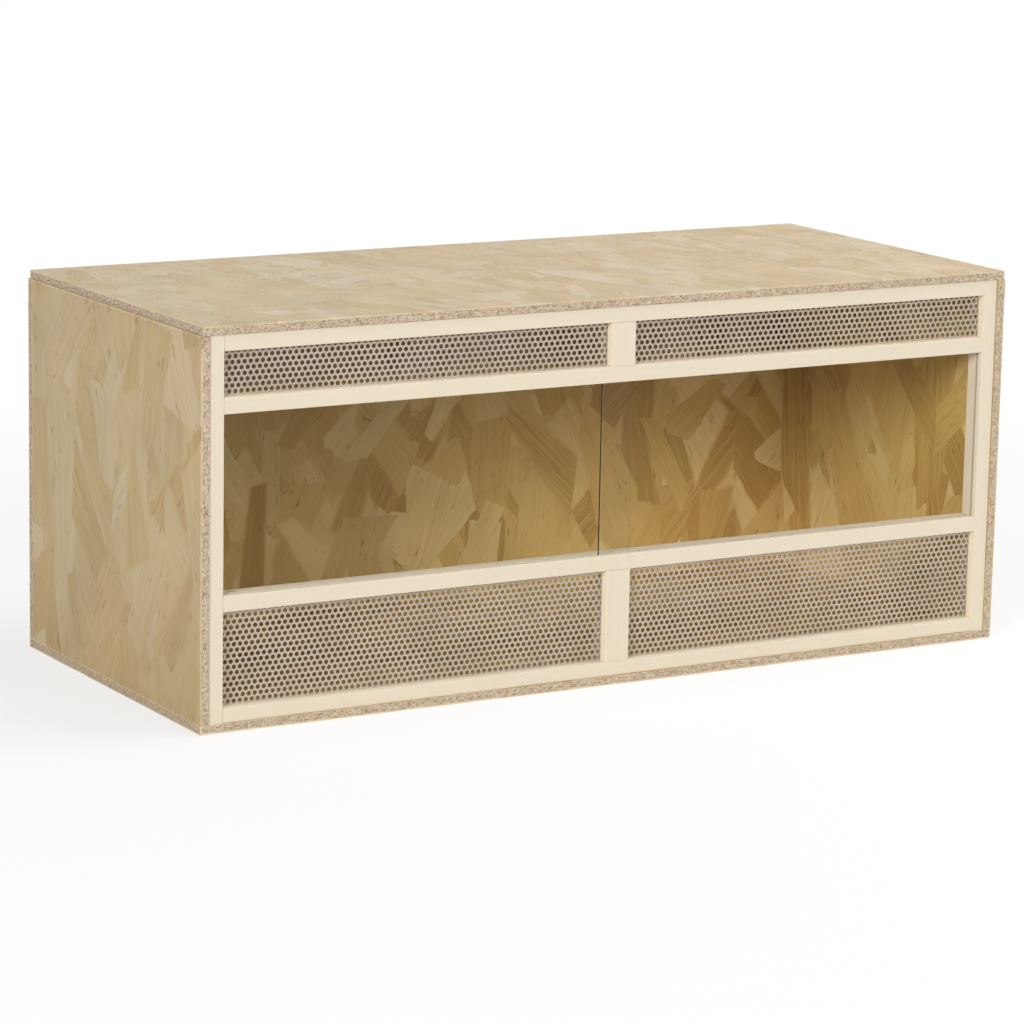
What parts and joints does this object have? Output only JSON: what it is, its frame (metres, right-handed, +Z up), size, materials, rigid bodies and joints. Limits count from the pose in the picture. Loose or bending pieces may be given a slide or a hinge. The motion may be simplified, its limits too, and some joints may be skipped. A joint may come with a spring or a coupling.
{
  "type": "reptile terrarium",
  "caption": "Wide strand-board reptile cabinet with a pine front frame, perforated vent sheets above and below, and sliding glass doors.",
  "frame": {"origin": "middle of the footprint, on the underside of the base panel", "axes": "+Z up, front (glass side) towards -Y, +X to the right seen from the front"},
  "size_m": [1.16, 0.5, 0.49],
  "materials": {
    "strand_board": "sanded strand board, bare, with chipped edges",
    "pine": "planed pale pine, unvarnished, eased edges",
    "sheet_metal": "coated perforated sheet, satin",
    "glass": "clear float glass, ground edges",
    "beech": "turned dowel",
    "zinc_steel": "zinc plated"
  },
  "bodies": {
    "root": {"base_panel": "strand_board", "top_panel": "strand_board", "left_side_panel": "strand_board", "right_side_panel": "strand_board", "back_panel": "strand_board", "left_stile": "pine", "right_stile": "pine", "top_rail": "pine", "head_rail": "pine", "sill_rail": "pine", "bottom_rail": "pine", "upper_muntin": "pine", "lower_muntin": "pine", "upper_left_sheet": "sheet_metal", "upper_right_sheet": "sheet_metal", "lower_left_sheet": "sheet_metal", "lower_right_sheet": "sheet_metal", "panel_dowels": "beech", "frame_dowels": "beech", "base_screws": "zinc_steel", "rail_screws": "zinc_steel", "back_screws": "zinc_steel", "stile_screws": "zinc_steel", "top_brackets": "zinc_steel", "bracket_screws": "zinc_steel"},
    "left_pane": {"left_glass_pane": "glass"},
    "right_pane": {"right_glass_pane": "glass"}
  },
  "joints": [
    {"name": "left_pane_slide", "type": "slide", "parent": "root", "child": "left_pane", "axis": [1, 0, 0], "range_m": [0, 0.523]},
    {"name": "right_pane_slide", "type": "slide", "parent": "root", "child": "right_pane", "axis": [1, 0, 0], "range_m": [-0.523, 0]}
  ]
}
